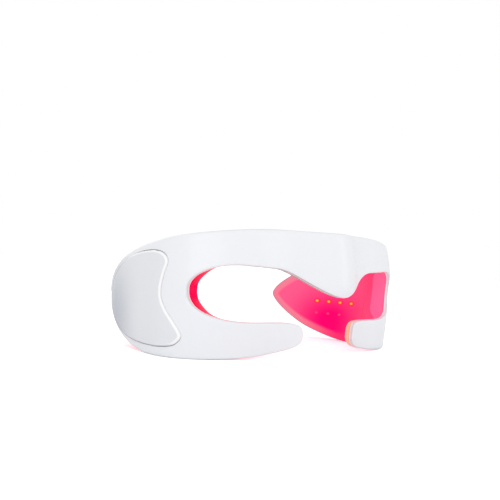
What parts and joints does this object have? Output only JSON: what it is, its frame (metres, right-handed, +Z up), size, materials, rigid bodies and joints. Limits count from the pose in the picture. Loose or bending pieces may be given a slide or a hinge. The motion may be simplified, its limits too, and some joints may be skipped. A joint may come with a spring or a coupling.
{
  "type": "led eye mask",
  "caption": "Wrap-round light therapy eye mask: glossy white shell lined with a glowing pink cover, open at the eyes and nose, with a panel on each temple and a power button.",
  "frame": {"origin": "bottom centre of the bounding box, on the surface that the mask stands on", "axes": "+Z up, the front of the mask faces -Y, +X towards the wearer's left"},
  "size_m": [0.1802, 0.12, 0.0674],
  "materials": {
    "shell_white": "gloss",
    "panel_white": "gloss",
    "cover_pink": "translucent, lit from behind",
    "light_board_white": "satin",
    "led_amber": "lit",
    "board_green": "satin",
    "black_plastic": "satin",
    "metal": "satin",
    "battery_foil": "satin",
    "foam_grey": "matte",
    "lead_red": "satin"
  },
  "bodies": {
    "mask": {"outer_shell": "shell_white", "light_cover": "cover_pink", "right_temple_panel": "panel_white", "left_temple_panel": "panel_white", "tact_switch": "metal", "control_board": "board_green", "controller_chip": "black_plastic", "flex_connector": "light_board_white", "charging_socket": "metal", "battery_pack": "battery_foil", "battery_foam": "foam_grey", "battery_lead_red": "lead_red", "battery_lead_black": "black_plastic", "brow_light_board": "light_board_white", "right_under_eye_light_board": "light_board_white", "right_temple_light_board": "light_board_white", "left_under_eye_light_board": "light_board_white", "left_temple_light_board": "light_board_white", "brow_led_1": "led_amber", "brow_led_2": "led_amber", "brow_led_3": "led_amber", "brow_led_4": "led_amber", "brow_led_5": "led_amber", "brow_led_6": "led_amber", "brow_led_7": "led_amber", "brow_led_8": "led_amber", "brow_led_9": "led_amber", "right_under_eye_led_1": "led_amber", "right_under_eye_led_2": "led_amber", "right_under_eye_led_3": "led_amber", "right_under_eye_led_4": "led_amber", "right_temple_led_upper_1": "led_amber", "right_temple_led_upper_2": "led_amber", "right_temple_led_upper_3": "led_amber", "right_temple_led_upper_4": "led_amber", "right_temple_led_lower_1": "led_amber", "right_temple_led_lower_2": "led_amber", "right_temple_led_lower_3": "led_amber", "left_under_eye_led_1": "led_amber", "left_under_eye_led_2": "led_amber", "left_under_eye_led_3": "led_amber", "left_under_eye_led_4": "led_amber", "left_temple_led_upper_1": "led_amber", "left_temple_led_upper_2": "led_amber", "left_temple_led_upper_3": "led_amber", "left_temple_led_upper_4": "led_amber", "left_temple_led_lower_1": "led_amber", "left_temple_led_lower_2": "led_amber", "left_temple_led_lower_3": "led_amber", "right_upper_shell_screw": "metal", "right_lower_shell_screw": "metal", "left_upper_shell_screw": "metal", "left_lower_shell_screw": "metal", "upper_board_screw": "metal", "lower_board_screw": "metal"},
    "button": {"power_button": "shell_white"}
  },
  "joints": [
    {"name": "button_press", "type": "slide", "parent": "mask", "child": "button", "axis": [0.8955, -0.4445, 0.0227], "range_m": [0, 0.0006], "stiffness_N_per_m": 600}
  ]
}
